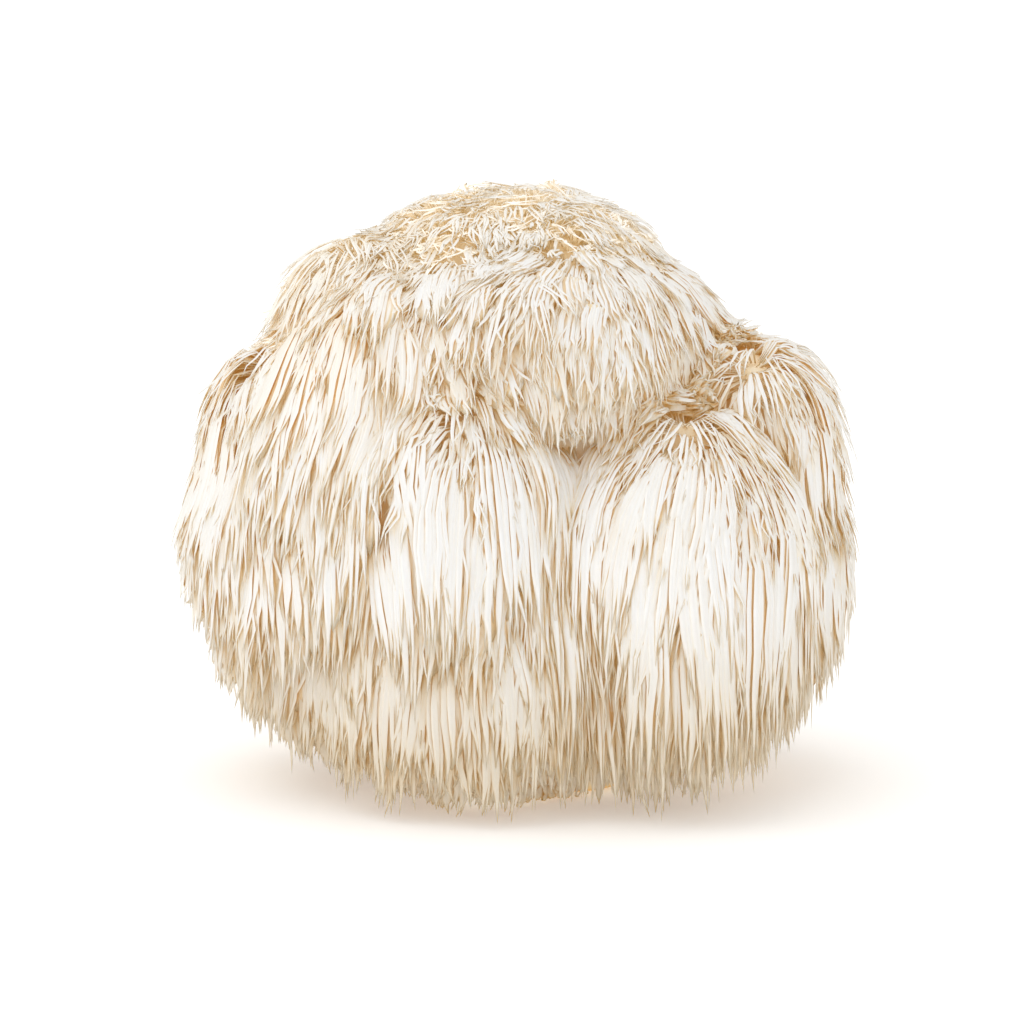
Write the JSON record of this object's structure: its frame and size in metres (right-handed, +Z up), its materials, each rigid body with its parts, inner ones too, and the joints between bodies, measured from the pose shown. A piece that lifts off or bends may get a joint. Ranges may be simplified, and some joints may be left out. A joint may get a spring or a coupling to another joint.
{
  "type": "lions mane mushroom",
  "caption": "Lobed, dome-shaped fungus body covered in long hanging spines, cut flat underneath so that it stands on a table or board.",
  "frame": {"origin": "the middle of the flat cut that the mushroom stands on, at table level", "axes": "+Z up, away from the cut; -Y towards the front that the picture shows; +X to the right of that view, along the widest side"},
  "size_m": [0.151, 0.1192, 0.1297],
  "materials": {
    "mushroom_flesh": "matt, soft and slightly translucent, cream white with ochre between the spines"
  },
  "bodies": {
    "root": {"mushroom": "mushroom_flesh"}
  },
  "joints": []
}
